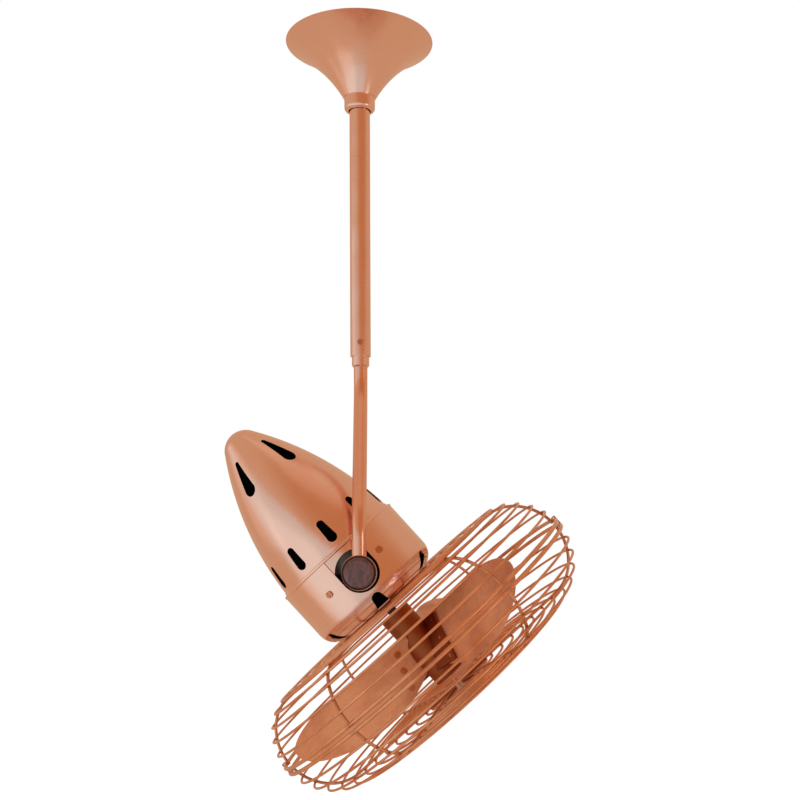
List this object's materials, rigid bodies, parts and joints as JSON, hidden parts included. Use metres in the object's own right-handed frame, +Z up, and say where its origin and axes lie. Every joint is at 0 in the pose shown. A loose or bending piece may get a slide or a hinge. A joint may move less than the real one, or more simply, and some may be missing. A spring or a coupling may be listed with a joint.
{
  "type": "ceiling fan",
  "caption": "Caged fan on a downrod: a flared canopy, a bent arm and a side pivot with a clamp knob carry a vented motor head that tilts and spins three cambered blades in a wire guard.",
  "frame": {"origin": "middle of the ceiling face of the hanger bracket, on the axis of the downrod", "axes": "+Z up towards the ceiling; the head points towards +X and down; the arm and the clamp knob are on the -Y side"},
  "size_m": [0.3566, 0.3758, 0.7624],
  "materials": {
    "brushed_copper": "brushed copper plating under a clear lacquer",
    "copper_blade": "satin copper lacquer",
    "zinc_steel": "zinc plated",
    "black_steel": "phosphated",
    "cast_aluminium": "as cast",
    "winding": "varnished coil, lighter than solid copper",
    "black_plastic": "moulded",
    "pale_plastic": "moulded",
    "fibre": "pressed friction fibre",
    "gasket_rubber": "plain",
    "screen_cloth": "black woven screen",
    "dark_wood": "dark stain under gloss lacquer",
    "dark_bronze": "dark bronze plating"
  },
  "bodies": {
    "hanger": {"hanger_bracket": "zinc_steel", "terminal_block": "pale_plastic", "hanger_ball": "zinc_steel", "ball_pin": "zinc_steel", "downrod": "brushed_copper", "rod_coupler": "brushed_copper", "coupler_screw": "brushed_copper", "coupler_nut": "brushed_copper", "arm_tube": "brushed_copper"},
    "canopy": {"canopy": "brushed_copper", "canopy_collar": "brushed_copper", "collar_screw": "zinc_steel"},
    "head": {"rear_cone": "brushed_copper", "front_bowl": "brushed_copper", "joining_ring": "brushed_copper", "rear_screen": "screen_cloth", "front_screen": "screen_cloth", "cone_screws": "brushed_copper", "bowl_screws": "brushed_copper", "pivot_bracket": "cast_aluminium", "pivot_stud": "zinc_steel", "friction_washer": "fibre", "spring_washer": "zinc_steel", "stator_core": "black_steel", "stator_winding": "winding", "motor_front_cover": "cast_aluminium", "motor_rear_cover": "cast_aluminium", "motor_bolts": "zinc_steel", "front_bearing": "zinc_steel", "rear_bearing": "zinc_steel", "capacitor": "black_plastic", "capacitor_clip": "zinc_steel", "guard_gasket": "gasket_rubber", "guard_screws": "zinc_steel", "rear_guard": "brushed_copper", "front_guard": "brushed_copper", "guard_clips": "brushed_copper", "guard_cap": "brushed_copper"},
    "rotor": {"motor_shaft": "zinc_steel", "rotor_core": "black_steel", "blade_hub": "cast_aluminium", "blade_1": "copper_blade", "blade_2": "copper_blade", "blade_3": "copper_blade", "blade_screws": "zinc_steel", "hub_nut": "zinc_steel", "hub_set_screw": "black_steel"},
    "knob": {"knob_grip": "dark_wood", "knob_cup": "dark_bronze"}
  },
  "joints": [
    {"name": "canopy_slide", "type": "slide", "parent": "hanger", "child": "canopy", "axis": [0, 0, -1], "range_m": [0, 0.2]},
    {"name": "head_tilt", "type": "hinge", "parent": "hanger", "child": "head", "pos_m": [0, -0.084, -0.542], "axis": [0, 1, 0], "range_deg": [-55, 17]},
    {"name": "fan_spin", "type": "hinge", "parent": "head", "child": "rotor", "pos_m": [-0.00259, 0, -0.54435], "axis": [0.6717, 0, -0.7408], "continuous": true},
    {"name": "knob_turn", "type": "hinge", "parent": "head", "child": "knob", "pos_m": [0, -0.1, -0.542], "axis": [0, -1, 0], "range_deg": [0, 360]}
  ]
}
